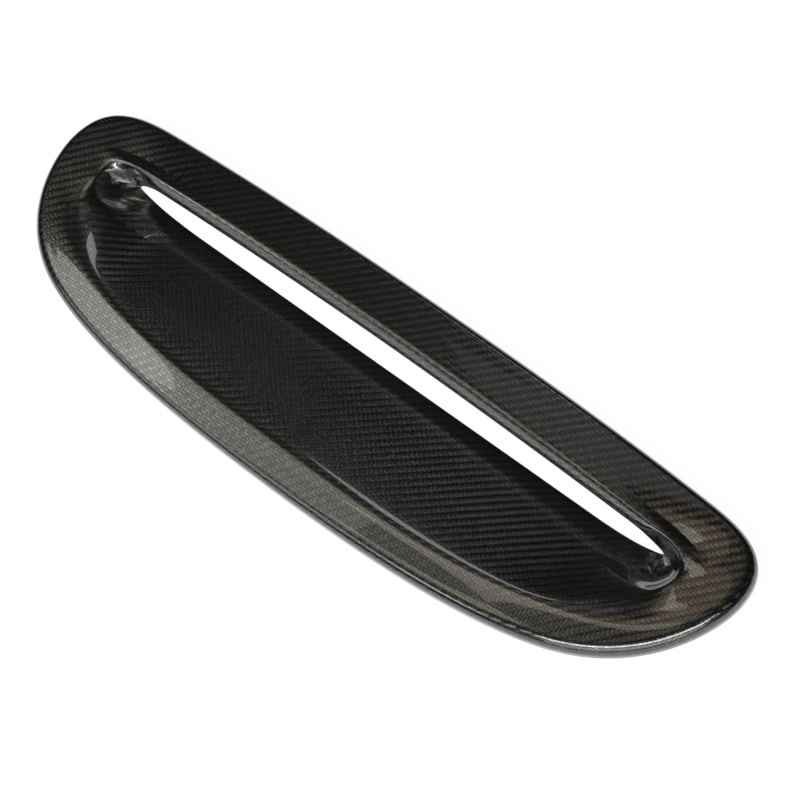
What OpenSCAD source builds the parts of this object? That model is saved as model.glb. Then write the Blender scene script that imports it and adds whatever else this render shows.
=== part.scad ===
// Hood air intake cover: one moulded carbon laminate shell with a sunken ramp and a mouth slot

/* [Size] */
// overall length along X
length = 570; // [480:5:660]
// overall width along Y
width = 156; // [135:1:180]
// thickness of the laminate
wall = 1.8; // [1.2:0.1:2.6]

/* [Rim] */
// height of the rim from its bottom edge to the start of the flank
rim_h = 9; // [7.5:0.5:14]
// radius of the roll on top of the rim
rim_r = 6; // [4:0.5:7]

/* [Top] */
// height of the brow above the rim plane: the front crease and the line it follows behind the lip
brow_h = 11.8; // [10.4:0.2:16]
// height of the brow around the two ends
end_h = 9.6; // [9.2:0.2:14]
// height of the crease on top of the lip
lip_top_h = 12.4; // [11:0.2:17]
// rounding of the front crease
crease_soft = 1.2; // [0.3:0.1:3]
// rounding of the crease on the lip and of the edge of the pockets
lip_soft = 0.7; // [0.2:0.05:1]
// rounding of the brow around the two ends
end_soft = 3; // [0.5:0.1:4]

/* [Mouth] */
// height of the lip's lower edge
lip_low_h = 7; // [4:0.5:9]
// depth of the ramp's edge below the rim plane
ramp_drop = 13.8; // [8:0.2:18]
// height of the two ends of the slot
slot_end_h = -3; // [-5:0.5:2]
// height of the edge of the pocket beyond each end of the slot
pocket_h = 9.4; // [7:0.2:10.4]
// height of that edge where it meets the ramp
pocket_low_h = 3.5; // [0:0.5:6]
// how far the ramp's edge turns down over its last stretch
ramp_turn = 0.6; // [0:0.1:1.5]
// how hollow the pocket beyond each end of the slot is
hollow = 3.6; // [1.5:0.1:4.5]
// share of the lip's fall that is a plain slope, the rest is a roll
lip_slope = 0.45; // [0.2:0.05:0.8]

/* [Hidden] */
// size at which the half loops below are drawn
drawn_length = 568.8;
drawn_width = 155.8;
kx = length / drawn_length;
ky = width / drawn_width;
// length of the ramp's last stretch, which turns down
turn_run = 12;
// where the edges of the slot leave their straight run, as a distance from the middle
ramp_end_x = 170;
lip_end_x = 200;
slot_end_x = 224;
// share of the way from the lip's crease into the pocket that its band takes, and of the fall
band_way = 0.36;
band_fall = 0.3;
// stations on each of the four curves of a half loop
steps = [12, 14, 15, 13];
// angles of the rim's roll
roll_angles = [0, 24, 48, 70, 88];
// shares of the way from the roll to the brow, from there to the pocket or lip, and on to the slot
out_shares = [0.35, 0.7, 0.9];
mid_shares = [0, 0.06, 0.2, 0.45, 0.7, 0.88, 0.97];
in_shares = [0, 0.12, 0.26, 0.36, 0.44, 0.56, 0.72, 0.86, 0.95, 1];

// half of each loop from the middle of the rear to the middle of the front, as curve handles
rim_half = [
    [0, 77.9], [76.5, 77.9], [157.7, 76.6], [229.7, 72],
    [262.4, 69.9], [284.4, 62.6], [284.4, 31.2],
    [284.4, 13.6], [270.5, -37.1], [209.5, -57.3],
    [156.3, -74.9], [72.7, -77.9], [0, -77.9]
];
brow_half = [
    [0, 52], [71.5, 52], [150, 50], [219, 46],
    [250, 43.5], [260.5, 38], [260.5, 20],
    [258.5, -2], [224, -30], [189, -39.2],
    [128.5, -54.8], [71.5, -55], [0, -55]
];
pocket_half = [
    [0, 43.5], [71.5, 43.5], [146.1, 41.5], [214.7, 38.4],
    [236, 37.4], [247.5, 33.5], [247, 23],
    [243.5, 10], [240, 2], [206, 6],
    [140, 10], [70, 12], [0, 12]
];
slot_half = [
    [0, 37], [68, 37], [140, 35.4], [206, 33.3],
    [217, 33], [slot_end_x, 33.4], [slot_end_x, 32.3],
    [slot_end_x, 31.2], [212, 31], [198, 31],
    [132, 31], [66, 31], [0, 31]
];

function curve(p, t) =
    pow(1 - t, 3) * p[0] + 3 * pow(1 - t, 2) * t * p[1] + 3 * (1 - t) * t * t * p[2] + pow(t, 3) * p[3];
function scaled(p) = [p[0] * kx, p[1] * ky];
function half(h) = concat(
    [for (k = [0:3]) for (i = [0:steps[k] - 1])
        scaled(curve([h[3 * k], h[3 * k + 1], h[3 * k + 2], h[3 * k + 3]], i / steps[k]))],
    [scaled(h[12])]
);
// place of each station on its half loop: 0 rear middle, 2 end of the slot, 4 front middle
places = concat([for (k = [0:3]) for (i = [0:steps[k] - 1]) k + i / steps[k]], [4]);
half_count = len(places);
count = 2 * half_count - 2;
function fold(i) = i < half_count ? i : 2 * half_count - 2 - i;
function side(i) = i < half_count ? 1 : -1;
function loop(h) = [for (i = [0:count - 1]) [side(i) * h[fold(i)][0], h[fold(i)][1]]];

rim_loop = loop(half(rim_half));
brow_loop = loop(half(brow_half));
pocket_loop = loop(half(pocket_half));
slot_loop = loop(half(slot_half));

function unit(v) = v / max(norm(v), 1e-9);
function clamp01(t) = min(1, max(0, t));
function ease(t) = clamp01(t) * clamp01(t) * (3 - 2 * clamp01(t));
function mix(a, b, t) = a + (b - a) * t;
function next(i) = (i + 1) % count;
function prev(i) = (i + count - 1) % count;
// outward normal of the rim in plan
function rim_normal(i) =
    let (d = unit(rim_loop[next(i)] - rim_loop[prev(i)]))
    [-d[1], d[0]];

// how much a place belongs to the ends of the intake, and how much to the lip
function end_part(q) = ease((q - 0.9) / 0.4) * (1 - ease((q - 2.4) / 0.6));
function lip_part(q) = 1 - ease((q - 1) / 0.35);
// share of the way into the pocket over which the lip's band runs on
function band(q) = band_way * (1 - ease((q - 1.7) / 0.5));
function top_h(q) = mix(brow_h, end_h, ease((q - 0.6) / 0.7) * (1 - ease((q - 2.2) / 0.8)));
// rounding of the brow, which grows crisper from the ends to the middle of the front
function brow_soft(q) = mix(end_soft, crease_soft, ease((q - 2) / 1.6));
// heights of the edge inside the brow and of the slot's edge
function edge_h(q, on_ramp) =
    q < 2
        ? mix(lip_top_h, pocket_h, ease((q - 0.8) / 1.1))
        : mix(mix(pocket_h, pocket_low_h, ease((q - 2.15) / 0.7)), on_ramp, ease((q - 2.6) / 0.5));
function slot_h(q, x) =
    q < 2
        ? mix(lip_low_h, slot_end_h, pow(clamp01((x / kx - lip_end_x) / (slot_end_x - lip_end_x)), 2))
        : mix(-ramp_drop, slot_end_h, pow(clamp01((x / kx - ramp_end_x) / (slot_end_x - ramp_end_x)), 2));

// share of the fall at a share t of the way, for the lip and for the hollow pocket
function lip_fall(t) = lip_slope * t + (1 - lip_slope) * (1 - sqrt(1 - min(t * t, 0.998)));
function pocket_fall(q, t) =
    let (w = band(q), drop = band_fall * w / band_way)
    t < w ? drop * t / w : drop + (1 - drop) * (1 - pow(1 - (t - w) / (1 - w), hollow));
function fall(q, t) =
    q < 2 ? mix(pocket_fall(q, t), lip_fall(t), lip_part(q)) : mix(t, pocket_fall(q, t), end_part(q));
// height lost to the rounding of a fold between the slopes a and b, s away from it and none d away
function fold_loss(a, b, s, d, k) =
    (sqrt(pow((a - b) * s, 2) + k * k) - abs((a - b) * s)) / 2 * (1 - ease(s / d));

// one line of points from the rim's bottom edge to the slot
function line_points(i) =
    let (
        q = places[fold(i)],
        n = rim_normal(i),
        p0 = rim_loop[i],
        pr = p0 - rim_r * n,
        p1 = brow_loop[i],
        p2 = pocket_loop[i],
        p3 = slot_loop[i],
        d1 = norm(p1 - pr),
        d2 = norm(p2 - p1),
        d3 = norm(p3 - p2),
        z1 = top_h(q),
        z3 = slot_h(q, abs(p3[0])),
        z2 = edge_h(q, mix(z1, z3, d2 / (d2 + d3))),
        a = (z1 - rim_h) / d1,
        b = (z2 - z1) / d2,
        c = (z3 - z2) * fall(q, 0.1) / 0.1 / d3,
        k1 = brow_soft(q) * min(1, 4 * abs(a - b)),
        k2 = lip_soft * min(1, 4 * abs(b - c)),
        turn = ease((q - 2.5) / 0.5) * ramp_turn
    )
    concat(
        [[p0[0], p0[1], 0]],
        [for (w = roll_angles)
            let (p = p0 - n * rim_r * (1 - cos(w)))
            [p[0], p[1], rim_h - rim_r * (1 - sin(w))]],
        [for (t = out_shares)
            let (p = mix(pr, p1, t))
            [p[0], p[1], mix(rim_h, z1, t) - fold_loss(a, b, (1 - t) * d1, d1, k1)]],
        [for (t = mid_shares)
            let (p = mix(p1, p2, t))
            [p[0], p[1], mix(z1, z2, t) - fold_loss(a, b, t * d2, d2, k1)
                - fold_loss(b, c, (1 - t) * d2, d2, k2)]],
        [for (t = in_shares)
            let (
                p = mix(p2, p3, t),
                last = clamp01((t * d3 - d3 + turn_run) / turn_run)
            )
            [p[0], p[1], mix(z2, z3, fall(q, t)) - fold_loss(b, c, t * d3, d3, k2)
                - turn * last * last]]
    );

outer = [for (i = [0:count - 1]) line_points(i)];
rows = len(outer[0]);
function normal_at(i, j) =
    let (
        du = outer[next(i)][j] - outer[prev(i)][j],
        dv = outer[i][min(j + 1, rows - 1)] - outer[i][j == 1 ? j : max(j - 1, 0)]
    )
    unit(cross(dv, du));
inner = [for (i = [0:count - 1]) [for (j = [0:rows - 1]) outer[i][j] - wall * normal_at(i, j)]];
// the lowest point of the shell rests at height zero
lift = -min([for (l = inner) for (p = l) p[2]]);

// index of a point in the list of all points
function at(layer, i, j) = (layer * count + i) * rows + j;
shell_points = [for (l = concat(outer, inner)) for (p = l) [p[0], p[1], p[2] + lift]];
shell_faces = [
    for (i = [0:count - 1]) each concat(
        [for (j = [0:rows - 2]) each [
            [at(0, i, j), at(0, next(i), j), at(0, next(i), j + 1)],
            [at(0, i, j), at(0, next(i), j + 1), at(0, i, j + 1)],
            [at(1, i, j), at(1, next(i), j + 1), at(1, next(i), j)],
            [at(1, i, j), at(1, i, j + 1), at(1, next(i), j + 1)]
        ]],
        [
            [at(0, i, 0), at(1, next(i), 0), at(0, next(i), 0)],
            [at(0, i, 0), at(1, i, 0), at(1, next(i), 0)],
            [at(0, i, rows - 1), at(0, next(i), rows - 1), at(1, next(i), rows - 1)],
            [at(0, i, rows - 1), at(1, next(i), rows - 1), at(1, i, rows - 1)]
        ]
    )
];

module cover() {
    color([0.05, 0.05, 0.055])
    polyhedron(points = shell_points, faces = shell_faces, convexity = 10);
}

cover();
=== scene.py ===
"""Looks of a hood air intake cover: one moulded shell of twill carbon laminate under clear lacquer.

The shell is worked out with numpy from the same half loops and heights as the part's solid, on a finer
grid. Lengths in the shape functions are millimetres, with the rim's bottom plane at height zero. A place q
on a half loop is 0 in the middle of the rear, 2 at the end of the slot and 4 in the middle of the front.
"""

import bpy
import numpy as np
from mathutils import Matrix, Vector


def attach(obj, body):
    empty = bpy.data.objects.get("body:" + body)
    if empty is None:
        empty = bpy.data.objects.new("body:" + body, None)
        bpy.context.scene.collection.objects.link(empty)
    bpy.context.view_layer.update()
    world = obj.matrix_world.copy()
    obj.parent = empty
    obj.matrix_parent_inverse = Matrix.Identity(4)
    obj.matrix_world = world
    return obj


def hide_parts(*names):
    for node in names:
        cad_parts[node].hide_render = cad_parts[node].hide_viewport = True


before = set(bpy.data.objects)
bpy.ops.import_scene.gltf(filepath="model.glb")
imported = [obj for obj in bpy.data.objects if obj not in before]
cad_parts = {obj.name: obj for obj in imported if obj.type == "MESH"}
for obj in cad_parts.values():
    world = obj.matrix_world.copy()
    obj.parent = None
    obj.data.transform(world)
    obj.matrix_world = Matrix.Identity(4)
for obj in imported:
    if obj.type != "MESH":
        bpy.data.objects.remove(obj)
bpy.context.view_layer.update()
scene = bpy.context.scene

MM = 0.001

# the part's named sizes
LENGTH, WIDTH, WALL = 570.0, 156.0, 1.8
RIM_H, RIM_R = 9.0, 6.0
BROW_H, END_H, LIP_TOP_H = 11.8, 9.6, 12.4
CREASE_SOFT, LIP_SOFT, END_SOFT = 1.2, 0.7, 3.0
LIP_LOW_H, RAMP_DROP, SLOT_END_H = 7.0, 13.8, -3.0
POCKET_H, POCKET_LOW_H = 9.4, 3.5
RAMP_TURN, TURN_RUN = 0.6, 12.0
HOLLOW, LIP_SLOPE = 3.6, 0.45
BAND_WAY, BAND_FALL = 0.36, 0.3
RAMP_END_X, LIP_END_X, SLOT_END_X = 170.0, 200.0, 224.0
DRAWN = np.array([568.8, 155.8])
STRETCH = np.array([LENGTH, WIDTH]) / DRAWN

# half of each loop from the middle of the rear to the middle of the front, as curve handles
RIM_HALF = [
    (0, 77.9), (76.5, 77.9), (157.7, 76.6), (229.7, 72),
    (262.4, 69.9), (284.4, 62.6), (284.4, 31.2),
    (284.4, 13.6), (270.5, -37.1), (209.5, -57.3),
    (156.3, -74.9), (72.7, -77.9), (0, -77.9),
]
BROW_HALF = [
    (0, 52), (71.5, 52), (150, 50), (219, 46),
    (250, 43.5), (260.5, 38), (260.5, 20),
    (258.5, -2), (224, -30), (189, -39.2),
    (128.5, -54.8), (71.5, -55), (0, -55),
]
POCKET_HALF = [
    (0, 43.5), (71.5, 43.5), (146.1, 41.5), (214.7, 38.4),
    (236, 37.4), (247.5, 33.5), (247, 23),
    (243.5, 10), (240, 2), (206, 6),
    (140, 10), (70, 12), (0, 12),
]
SLOT_HALF = [
    (0, 37), (68, 37), (140, 35.4), (206, 33.3),
    (217, 33), (SLOT_END_X, 33.4), (SLOT_END_X, 32.3),
    (SLOT_END_X, 31.2), (212, 31), (198, 31),
    (132, 31), (66, 31), (0, 31),
]

# grid of the shell: stations on each of the four curves of a half loop, and rows of each zone
STATIONS = [44, 52, 56, 48]
ROLL_ROWS, OUT_ROWS, MID_ROWS, IN_ROWS = 10, 9, 16, 28
EDGE_ROWS = 4
# how far the cut edges of the laminate round out
EDGE_BULGE = 0.35
# share of the way to the slot over which the slope just below the inner line is taken
FIRST_STRETCH = 0.1


def ease(t):
    """Smooth step: 3 t squared less 2 t cubed, held between 0 and 1."""
    t = np.clip(t, 0, 1)
    return t * t * (3 - 2 * t)


def mix(a, b, t):
    """Straight blend from a to b at a share t."""
    return a + (b - a) * t


def half_loop(handles, q):
    """Points of a half loop at the places q: cubic curves through every third handle, stretched to size."""
    h = np.array(handles, float) * STRETCH
    k = np.minimum(q.astype(int), 3)
    t = (q - k)[:, None]
    return (
        (1 - t) ** 3 * h[3 * k]
        + 3 * (1 - t) ** 2 * t * h[3 * k + 1]
        + 3 * (1 - t) * t * t * h[3 * k + 2]
        + t**3 * h[3 * k + 3]
    )


def whole_loop(half, side=1):
    """A half loop and its mirror image as one ring; side is -1 where the first column changes sign."""
    back = half[-2:0:-1].copy()
    back[..., 0] *= side
    return np.concatenate([half, back])


def end_part(q):
    """How much a place belongs to the intake's ends: eased up past the lip, down again before the ramp."""
    return ease((q - 0.9) / 0.4) * (1 - ease((q - 2.4) / 0.6))


def lip_part(q):
    """How much a place belongs to the lip: all of it up to place 1, then eased down to none."""
    return 1 - ease((q - 1) / 0.35)


def top_h(q):
    """Height of the brow: brow height along the middle, end height round the two ends."""
    return mix(BROW_H, END_H, ease((q - 0.6) / 0.7) * (1 - ease((q - 2.2) / 0.8)))


def edge_h(q, on_ramp):
    """Height of the line inside the brow: lip crease, pocket edge, then eased into the ramp's own slope."""
    rear = mix(LIP_TOP_H, POCKET_H, ease((q - 0.8) / 1.1))
    pocket = mix(POCKET_H, POCKET_LOW_H, ease((q - 2.15) / 0.7))
    return np.where(q < 2, rear, mix(pocket, on_ramp, ease((q - 2.6) / 0.5)))


def slot_h(q, x):
    """Height of the slot's edge: level along lip and ramp, then by the square of the way to its end."""
    x = x / STRETCH[0]
    rear_run = np.clip((x - LIP_END_X) / (SLOT_END_X - LIP_END_X), 0, 1)
    front_run = np.clip((x - RAMP_END_X) / (SLOT_END_X - RAMP_END_X), 0, 1)
    rear = mix(LIP_LOW_H, SLOT_END_H, rear_run**2)
    front = mix(-RAMP_DROP, SLOT_END_H, front_run**2)
    return np.where(q < 2, rear, front)


def fall(q, t):
    """Share of the fall at a share t of the way from the inner line to the slot.

    The lip is a plain slope plus a quarter circle. The pocket is a band with a plain slope, then one less a
    power of the way that is left. The ramp falls evenly.
    """
    roll = LIP_SLOPE * t + (1 - LIP_SLOPE) * (1 - np.sqrt(1 - np.minimum(t * t, 0.998)))
    way = np.maximum(BAND_WAY * (1 - ease((q - 1.7) / 0.5)), 1e-6)
    drop = BAND_FALL * way / BAND_WAY
    past = np.clip((t - way) / (1 - way), 0, 1)
    hollow = np.where(t < way, drop * t / way, drop + (1 - drop) * (1 - (1 - past) ** HOLLOW))
    return np.where(q < 2, mix(hollow, roll, lip_part(q)), mix(t, hollow, end_part(q)))


def fold_loss(a, b, s, d, k):
    """Height lost to the rounding k of a fold between the slopes a and b, at a distance s; none at d.

    It is what a hyperbola between those slopes differs from its two straight lines, fading out towards d.
    """
    bend = (a - b) * s
    return (np.sqrt(bend**2 + k * k) - np.abs(bend)) / 2 * (1 - ease(s / d))


def crowded(rows):
    """Shares from 0 to just under 1 that stand close together at both ends: half of one less the cosine."""
    return (1 - np.cos(np.pi * np.arange(rows) / rows)) / 2


def outer_skin():
    """Outer surface as a grid of stations round the cover by rows from the rim's bottom edge to the slot.

    A row of the roll is the rim radius turned through an angle. Every other row lies a share t of the way
    in plan between two loops, at the blended height of the two, less the rounding of the folds beside it.
    Returns the points and the outward direction of the rim in plan.
    """
    half = np.concatenate([k + np.arange(n) / n for k, n in enumerate(STATIONS)] + [[4.0]])
    q = whole_loop(half)[:, None]
    rim, brow, inner, slot = [
        whole_loop(half_loop(h, half), -1) for h in (RIM_HALF, BROW_HALF, POCKET_HALF, SLOT_HALF)
    ]
    along = np.roll(rim, -1, axis=0) - np.roll(rim, 1, axis=0)
    along /= np.linalg.norm(along, axis=1)[:, None]
    out = np.stack([-along[:, 1], along[:, 0]], axis=-1)
    foot = rim - RIM_R * out
    zones = ((foot, brow), (brow, inner), (inner, slot))
    d1, d2, d3 = [np.linalg.norm(end - start, axis=1)[:, None] for start, end in zones]
    z1 = top_h(q)
    z3 = slot_h(q, np.abs(slot[:, :1]))
    z2 = edge_h(q, mix(z1, z3, d2 / (d2 + d3)))
    # slopes of the flank, of the strip inside the brow and of the stretch just below the inner line
    a, b = (z1 - RIM_H) / d1, (z2 - z1) / d2
    c = (z3 - z2) * fall(q, FIRST_STRETCH) / FIRST_STRETCH / d3
    # roundings of the brow and of the inner line, less where two slopes differ by under a quarter
    k1 = mix(END_SOFT, CREASE_SOFT, ease((q - 2) / 1.6)) * np.minimum(1, 4 * np.abs(a - b))
    k2 = LIP_SOFT * np.minimum(1, 4 * np.abs(b - c))
    turn = ease((q - 2.5) / 0.5) * RAMP_TURN

    def between(start, end, t, z):
        """Rows at the shares t of the way in plan from one loop to another, at the heights z."""
        plan = start[:, None] + (end - start)[:, None] * t[None, :, None]
        return np.concatenate([plan, z[..., None]], axis=-1)

    w = np.radians(np.linspace(0, 90, ROLL_ROWS + 1)[:-1])
    roll_plan = rim[:, None] - out[:, None] * (RIM_R * (1 - np.cos(w)))[None, :, None]
    roll_z = np.broadcast_to(RIM_H - RIM_R * (1 - np.sin(w)), roll_plan.shape[:2])
    bottom = np.concatenate([rim[:, None], np.zeros((len(rim), 1, 1))], axis=-1)
    roll = np.concatenate([roll_plan, roll_z[..., None]], axis=-1)
    t = np.sin(np.pi / 2 * np.arange(OUT_ROWS) / OUT_ROWS)
    z = mix(RIM_H, z1, t) - fold_loss(a, b, (1 - t) * d1, d1, k1)
    flank = between(foot, brow, t, z)
    t = crowded(MID_ROWS)
    z = mix(z1, z2, t) - fold_loss(a, b, t * d2, d2, k1) - fold_loss(b, c, (1 - t) * d2, d2, k2)
    middle = between(brow, inner, t, z)
    t = np.append(crowded(IN_ROWS), 1.0)
    last = np.clip((t * d3 - d3 + TURN_RUN) / TURN_RUN, 0, 1)
    z = mix(z2, z3, fall(q, t)) - fold_loss(b, c, t * d3, d3, k2) - turn * last**2
    mouth = between(inner, slot, t, z)
    return np.concatenate([bottom, roll, flank, middle, mouth], axis=1), out


def grid_normals(skin):
    """Unit normal of a grid that is closed in its first direction: cross product of the two differences."""
    du = np.roll(skin, -1, axis=0) - np.roll(skin, 1, axis=0)
    dv = np.gradient(skin, axis=1)
    n = np.cross(dv, du)
    return n / np.linalg.norm(n, axis=-1, keepdims=True)


def cloth_map(skin, out):
    """Flat cloth position: plan place on the flank's first row, then plan direction times true length.

    So the weave keeps its size where the shell turns down at the rim and at the lip.
    """
    start = 1 + ROLL_ROWS
    step = np.diff(skin, axis=1)
    length = np.linalg.norm(step, axis=-1, keepdims=True)
    plan = step[..., :2] / np.maximum(np.linalg.norm(step[..., :2], axis=-1, keepdims=True), 1e-9)
    plan[:, :start] = -out[:, None]
    run = np.cumsum(plan * length, axis=1)
    run = np.concatenate([np.zeros_like(run[:, :1]), run], axis=1)
    return skin[:, start : start + 1, :2] + run - run[:, start : start + 1]


def edge_round(outer, inner, beyond):
    """Half oval between the edges of the two skins: their middle plus its radii times cosine and sine."""
    w = np.pi * np.arange(1, EDGE_ROWS) / EDGE_ROWS
    middle, radius = (outer + inner) / 2, (outer - inner) / 2
    return (
        middle[:, None]
        + radius[:, None] * np.cos(w)[None, :, None]
        + beyond[:, None] * (EDGE_BULGE * np.sin(w))[None, :, None]
    )


def shell_grid():
    """Closed ring of rows with each point's cloth place, and which rows of faces lie on the inside.

    The rows are the outer skin, the slot's edge, the inner skin one wall below, and the rim's edge.
    """
    skin, out = outer_skin()
    n = grid_normals(skin)
    inside = skin - WALL * n
    cloth = cloth_map(skin, out)
    to_slot = skin[:, -1] - skin[:, -2]
    to_slot /= np.linalg.norm(to_slot, axis=-1, keepdims=True)
    down = np.broadcast_to([0.0, 0.0, -1.0], to_slot.shape)
    slot_edge = edge_round(skin[:, -1], inside[:, -1], to_slot)
    rim_edge = edge_round(inside[:, 0], skin[:, 0], down)
    ring = np.concatenate([skin, slot_edge, inside[:, ::-1], rim_edge], axis=1)
    flat = np.concatenate(
        [
            cloth,
            np.repeat(cloth[:, -1:], EDGE_ROWS - 1, axis=1),
            cloth[:, ::-1],
            np.repeat(cloth[:, :1], EDGE_ROWS - 1, axis=1),
        ],
        axis=1,
    )
    ring[..., 2] -= inside[..., 2].min()
    rows = skin.shape[1]
    inner_rows = np.arange(rows + EDGE_ROWS - 1, 2 * rows + EDGE_ROWS - 2)
    return ring * MM, flat * MM, inner_rows


def ring_mesh(name, ring, flat, turn):
    """Quads between neighbouring stations and rows, both closed, and the row of each.

    The UV map is each point's cloth place turned by an angle.
    """
    count, rows = ring.shape[:2]
    i, j = np.meshgrid(np.arange(count), np.arange(rows), indexing="ij")
    i2, j2 = (i + 1) % count, (j + 1) % rows
    quads = np.stack([i * rows + j, i * rows + j2, i2 * rows + j2, i2 * rows + j], axis=-1).reshape(-1, 4)
    mesh = bpy.data.meshes.new(name)
    mesh.vertices.add(count * rows)
    mesh.loops.add(quads.size)
    mesh.polygons.add(len(quads))
    mesh.vertices.foreach_set("co", ring.reshape(-1).astype(np.float32))
    mesh.loops.foreach_set("vertex_index", quads.reshape(-1).astype(np.int32))
    mesh.polygons.foreach_set("loop_start", np.arange(0, quads.size, 4, dtype=np.int32))
    mesh.update(calc_edges=True)
    mesh.polygons.foreach_set("use_smooth", np.ones(len(quads), bool))
    c, s = np.cos(turn), np.sin(turn)
    cloth = flat.reshape(-1, 2) @ np.array([[c, -s], [s, c]])
    layer = mesh.uv_layers.new(name="cloth")
    layer.data.foreach_set("uv", cloth[quads.reshape(-1)].reshape(-1).astype(np.float32))
    mesh.validate()
    return mesh, j.reshape(-1)


def linear(code):
    """Opaque linear colour of an sRGB hex value: a line below 0.04045, a power of 2.4 above."""
    c = np.array([int(code[k : k + 2], 16) for k in (1, 3, 5)]) / 255
    c = np.where(c <= 0.04045, c / 12.92, ((c + 0.055) / 1.055) ** 2.4)
    return (*c.tolist(), 1.0)


def add(tree, kind, settings=None, *inputs, **named):
    """Adds a node with its settings, fills or links its inputs in order or by name, gives its outputs."""
    node = tree.nodes.new(kind)
    for key, value in (settings or {}).items():
        setattr(node, key, value)
    by_name = [(node.inputs[key.replace("_", " ")], value) for key, value in named.items()]
    for socket, value in [*zip(node.inputs, inputs), *by_name]:
        if isinstance(value, bpy.types.NodeSocket):
            tree.links.new(value, socket)
        elif value is not None:
            socket.default_value = value
    return node.outputs


def new_material(name):
    """An empty node material and its tree."""
    material = bpy.data.materials.new(name)
    material.use_nodes = True
    material.node_tree.nodes.clear()
    return material, material.node_tree


# 3K carbon cloth: tows 2.02 mm apart, woven over two and under two
TOW = 2.02 * MM
# the cloth lies turned a little on the mould
CLOTH_TURN = np.radians(4.5)
# how far a tow's surface leans along its float and across its width
FLOAT_LEAN, TOW_LEAN = 0.12, 0.03
# share of a tow's width in its full colour, and how much of that colour is left in the resin beside it
BARE_SHARE, RESIN_SHARE = 0.6, 0.15
# pits to the millimetre on the underside
PITS = 0.9
MATH, VMATH, MIX, MAP = "ShaderNodeMath", "ShaderNodeVectorMath", "ShaderNodeMix", "ShaderNodeMapRange"
NUMBER, COLOUR = {"data_type": "FLOAT"}, {"data_type": "RGBA"}
SMOOTH = {"interpolation_type": "SMOOTHSTEP"}


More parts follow.
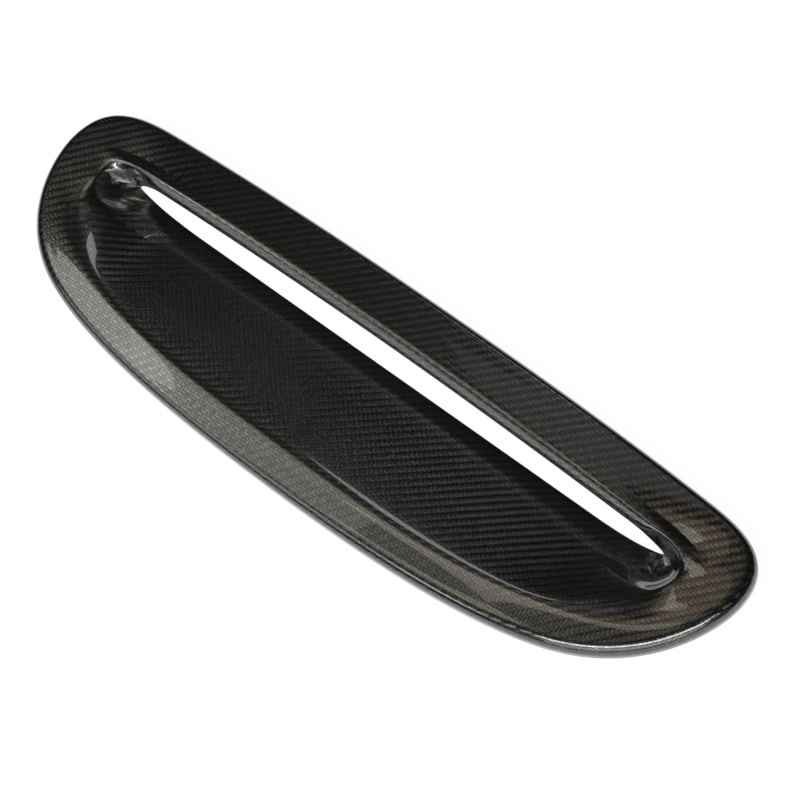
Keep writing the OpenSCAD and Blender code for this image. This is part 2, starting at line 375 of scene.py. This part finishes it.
def lacquered_twill_carbon():
    """Twill carbon laminate under polished clear lacquer.

    The lacquer mirrors the room evenly. Below it each tow is a bundle of fibres that gleams across its own
    direction, so the two directions of the cloth light up in turn. Each float leans as it dives under the
    next tow, and the resin between two tows is dark.
    """
    material, tree = new_material("lacquered_twill_carbon")
    uv = add(tree, "ShaderNodeUVMap", {"uv_map": "cloth"})["UV"]
    place = add(tree, VMATH, {"operation": "SCALE"}, uv, Scale=1 / TOW)[0]
    u, v = add(tree, "ShaderNodeSeparateXYZ", None, place)[:2]
    column, row = [add(tree, MATH, {"operation": "FLOOR"}, x)[0] for x in (u, v)]
    over_column, over_row = [add(tree, MATH, {"operation": "FRACT"}, x)[0] for x in (u, v)]
    # a warp tow runs along v: it is on top where its place along its float is from -1 to 1
    along_warp = add(tree, MATH, {"operation": "SUBTRACT"}, v, column)[0]
    along_warp = add(tree, MATH, {"operation": "WRAP"}, along_warp, 2.0, -2.0)[0]
    reach = add(tree, MATH, {"operation": "ABSOLUTE"}, along_warp)[0]
    warp_on_top = add(tree, MATH, {"operation": "LESS_THAN"}, reach, 1.0)[0]
    # a weft tow runs along u and is on top elsewhere, where its place along its float is from -1 to 1 too
    along_weft = add(tree, MATH, {"operation": "SUBTRACT"}, u, row)[0]
    along_weft = add(tree, MATH, {"operation": "WRAP"}, along_weft, 4.0, 0.0)[0]
    along_weft = add(tree, MATH, {"operation": "SUBTRACT"}, along_weft, 3.0)[0]
    # place along and across the tow that is on top
    along = add(tree, MIX, NUMBER, Factor=warp_on_top, A=along_weft, B=along_warp)["Result"]
    across = add(tree, MIX, NUMBER, Factor=warp_on_top, A=over_row, B=over_column)["Result"]
    # a float is nearly flat along its middle and dives at its ends: lean times the fifth power of the place
    square = add(tree, MATH, {"operation": "MULTIPLY"}, along, along)[0]
    fourth = add(tree, MATH, {"operation": "MULTIPLY"}, square, square)[0]
    fifth = add(tree, MATH, {"operation": "MULTIPLY"}, fourth, along)[0]
    dive = add(tree, MATH, {"operation": "MULTIPLY"}, fifth, FLOAT_LEAN)[0]
    bulge = add(tree, MATH, {"operation": "MULTIPLY_ADD"}, across, 2 * TOW_LEAN, -TOW_LEAN)[0]
    # lean of the surface along u and along v, as a tangent space normal
    lean_u = add(tree, MIX, NUMBER, Factor=warp_on_top, A=dive, B=bulge)["Result"]
    lean_v = add(tree, MIX, NUMBER, Factor=warp_on_top, A=bulge, B=dive)["Result"]
    lean_u, lean_v = [
        add(tree, MATH, {"operation": "MULTIPLY_ADD"}, lean, 0.5, 0.5)[0] for lean in (lean_u, lean_v)
    ]
    lean = add(tree, "ShaderNodeCombineXYZ", None, lean_u, lean_v, 1.0)[0]
    normal = add(tree, "ShaderNodeNormalMap", {"space": "TANGENT", "uv_map": "cloth"}, 1.0, lean)[0]
    tangent = add(tree, "ShaderNodeTangent", {"direction_type": "UV_MAP", "uv_map": "cloth"})[0]
    # the gleam turns by a quarter from warp to weft
    quarter = add(tree, MATH, {"operation": "MULTIPLY_ADD"}, warp_on_top, -0.25, 0.25)[0]
    # each tow is a little lighter or darker than the next
    number = add(tree, MIX, NUMBER, Factor=warp_on_top, A=row, B=column)["Result"]
    number = add(tree, MATH, {"operation": "ADD"}, number, warp_on_top)[0]
    tone = add(tree, "ShaderNodeTexWhiteNoise", {"noise_dimensions": "1D"}, W=number)["Value"]
    fibres = add(tree, MIX, COLOUR, Factor=tone, A=linear("#5c5c5c"), B=linear("#6b6b6a"))["Result"]
    # the resin between two tows is dark
    off_middle = add(tree, MATH, {"operation": "MULTIPLY_ADD"}, across, 2.0, -1.0)[0]
    off_middle = add(tree, MATH, {"operation": "ABSOLUTE"}, off_middle)[0]
    bare = add(tree, MAP, SMOOTH, off_middle, BARE_SHARE, 1.0, 1.0, RESIN_SHARE)[0]
    cloth = add(tree, MIX, COLOUR, Factor=bare, A=linear("#0a0a0a"), B=fibres)["Result"]
    surface = add(
        tree, "ShaderNodeBsdfPrincipled", None,
        Base_Color=cloth, Metallic=1.0, Roughness=0.234, Normal=normal, Tangent=tangent,
        Anisotropic=0.78, Anisotropic_Rotation=quarter,
        Coat_Weight=1.0, Coat_Roughness=0.03, Coat_IOR=1.5,
    )[0]
    add(tree, "ShaderNodeOutputMaterial", None, surface)
    return material


def bag_side_carbon():
    """Unpolished underside of the laminate: dull dark resin, the weave faintly seen, a little pitted."""
    material, tree = new_material("bag_side_carbon")
    uv = add(tree, "ShaderNodeUVMap", {"uv_map": "cloth"})["UV"]
    weave = add(tree, VMATH, {"operation": "SCALE"}, uv, Scale=1 / (2 * TOW))[0]
    dark, pale = linear("#1b1b1c"), linear("#232324")
    check = add(tree, "ShaderNodeTexChecker", None, weave, dark, pale, 1.0)["Color"]
    pits = add(tree, "ShaderNodeTexNoise", None, uv, Scale=PITS / MM, Detail=3.0)["Fac"]
    normal = add(tree, "ShaderNodeBump", None, Strength=0.35, Distance=0.3 * MM, Height=pits)[0]
    surface = add(
        tree, "ShaderNodeBsdfPrincipled", None, Base_Color=check, Roughness=0.52, Normal=normal
    )[0]
    add(tree, "ShaderNodeOutputMaterial", None, surface)
    return material


def make_shell():
    """The cover itself, on the outside lacquered, on the inside as it came from the bag."""
    ring, flat, inner_rows = shell_grid()
    mesh, row = ring_mesh("shell", ring, flat, CLOTH_TURN)
    mesh.materials.append(lacquered_twill_carbon())
    mesh.materials.append(bag_side_carbon())
    mesh.polygons.foreach_set("material_index", np.isin(row, inner_rows).astype(np.int32))
    shell = bpy.data.objects.new("shell", mesh)
    scene.collection.objects.link(shell)
    return shell


def white_paper():
    """Matt white paper: its own white for the camera, with the shadow taken from the light on it.

    Mirrored in the lacquer it is that white near the cover, and further off only a quarter of it is left in
    the matt grey. For all other light it is the matt grey.
    """
    material, tree = new_material("white_paper")
    matt = add(tree, "ShaderNodeBsdfDiffuse", None, linear("#8a8a88"))[0]
    shade = add(tree, "ShaderNodeBsdfDiffuse", None, linear("#6a6a6a"))[0]
    glow = add(tree, "ShaderNodeEmission", None, linear("#ffffff"), 0.93)[0]
    white = add(tree, "ShaderNodeAddShader", None, shade, glow)[0]
    place = add(tree, "ShaderNodeTexCoord")["Object"]
    away = add(tree, VMATH, {"operation": "LENGTH"}, place)["Value"]
    left = add(tree, MAP, SMOOTH, away, 0.7, 1.6, 1.0, 0.25)[0]
    ray = add(tree, "ShaderNodeLightPath")
    mirrored = add(tree, MATH, {"operation": "MULTIPLY"}, ray["Is Glossy Ray"], left)[0]
    seen = add(tree, MATH, {"operation": "MAXIMUM"}, ray["Is Camera Ray"], mirrored)[0]
    seen = add(tree, MATH, {"operation": "MAXIMUM"}, seen, ray["Is Transmission Ray"])[0]
    both = add(tree, "ShaderNodeMixShader", None, seen, matt, white)[0]
    add(tree, "ShaderNodeOutputMaterial", None, both)
    return material


def make_floor():
    """One large sheet of white paper, half a millimetre below the cover, so that the two don't touch."""
    reach, height = 9.0, -0.5 * MM
    corners = [(x * reach, y * reach, height) for x, y in ((-1, -1), (1, -1), (1, 1), (-1, 1))]
    mesh = bpy.data.meshes.new("floor")
    mesh.from_pydata(corners, [], [(0, 1, 2, 3)])
    mesh.materials.append(white_paper())
    floor = bpy.data.objects.new("floor", mesh)
    scene.collection.objects.link(floor)
    return floor


def make_world():
    """White for the camera; for everything else a dim room, the same on all sides."""
    world = bpy.data.worlds.new("studio")
    scene.world = world
    world.use_nodes = True
    tree = world.node_tree
    tree.nodes.clear()
    room, white = [add(tree, "ShaderNodeBackground", None, linear("#ffffff"), k)[0] for k in (0.03, 1.0)]
    camera_ray = add(tree, "ShaderNodeLightPath")["Is Camera Ray"]
    both = add(tree, "ShaderNodeMixShader", None, camera_ray, room, white)[0]
    add(tree, "ShaderNodeOutputWorld", None, both)


def direction(around, up):
    """Unit vector towards a place given by two angles in degrees: round from X, and up from level."""
    a, e = np.radians([around, up])
    return Vector((np.cos(e) * np.cos(a), np.cos(e) * np.sin(a), np.sin(e)))


def soft_light(name, around, up, wide, high, radiance, colour="#ffffff"):
    """A soft panel that faces the cover: its place and size are angles in degrees, as seen from the cover.

    A side is twice the distance times the tangent of half its angle, and the power is radiance times four
    times the area.
    """
    distance = 4.0
    way = direction(around, up)
    data = bpy.data.lights.new(name, "AREA")
    data.shape = "RECTANGLE"
    data.size, data.size_y = [float(2 * distance * np.tan(np.radians(angle) / 2)) for angle in (wide, high)]
    data.energy = radiance * 4 * data.size * data.size_y
    data.color = linear(colour)[:3]
    lamp = bpy.data.objects.new(name, data)
    lamp.location = way * distance
    lamp.rotation_euler = way.to_track_quat("Z", "Y").to_euler()
    lamp.visible_camera = False
    scene.collection.objects.link(lamp)


def make_lights():
    """Soft panels, each for its own part of the cover.

    The left and top panels light the front flank, the cloth panel and the back wall light the cloth on the
    ramp and the rear panel, and the front ones are mirrored in the lip, in the roll and in the slot's edge.
    """
    soft_light("left_panel", 191, 51, 25, 9, 2.0, "#fdfff6")
    soft_light("left_panel_rim", 180, 58, 20, 10, 0.7, "#fdfff0")
    soft_light("top_panel", 162, 67, 18, 8, 1.2, "#fffae8")
    soft_light("top_panel_end", 142, 63, 8, 9, 0.45, "#ffd8b8")
    soft_light("cloth_panel", 126, 40, 6, 4, 2.3)
    soft_light("back_wall", 125, 52, 14, 9, 0.22)
    soft_light("front_left_wall", 226, 31, 30, 30, 0.8)
    soft_light("front_strip", 249, 35, 10, 6, 5.0)
    soft_light("front_wall", 310, 26, 70, 30, 1.3)
    soft_light("front_band", 310, 57, 60, 6, 13.0)


def make_camera():
    """Camera at the photograph's place: off its target by a distance in a direction, then rolled."""
    target, distance = Vector((17.4, 20.5, 0)) * MM, 2165.9 * MM
    around, up, roll = -28.52, 55.88, np.radians(-21.42)
    back = direction(around, up)
    level = direction(around + 90, 0)
    right = level * np.cos(roll) + back.cross(level) * np.sin(roll)
    turn = Matrix((right, back.cross(right), back)).transposed().to_4x4()
    data = bpy.data.cameras.new("camera")
    data.sensor_width = 36.0
    data.lens = 159.93
    data.clip_end = 100.0
    camera = bpy.data.objects.new("camera", data)
    camera.matrix_world = Matrix.Translation(target + back * distance) @ turn
    scene.collection.objects.link(camera)
    scene.camera = camera


shell = make_shell()
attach(shell, "root")
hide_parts("cover")
make_floor()
make_world()
make_lights()
make_camera()
scene.view_settings.view_transform = "Standard"
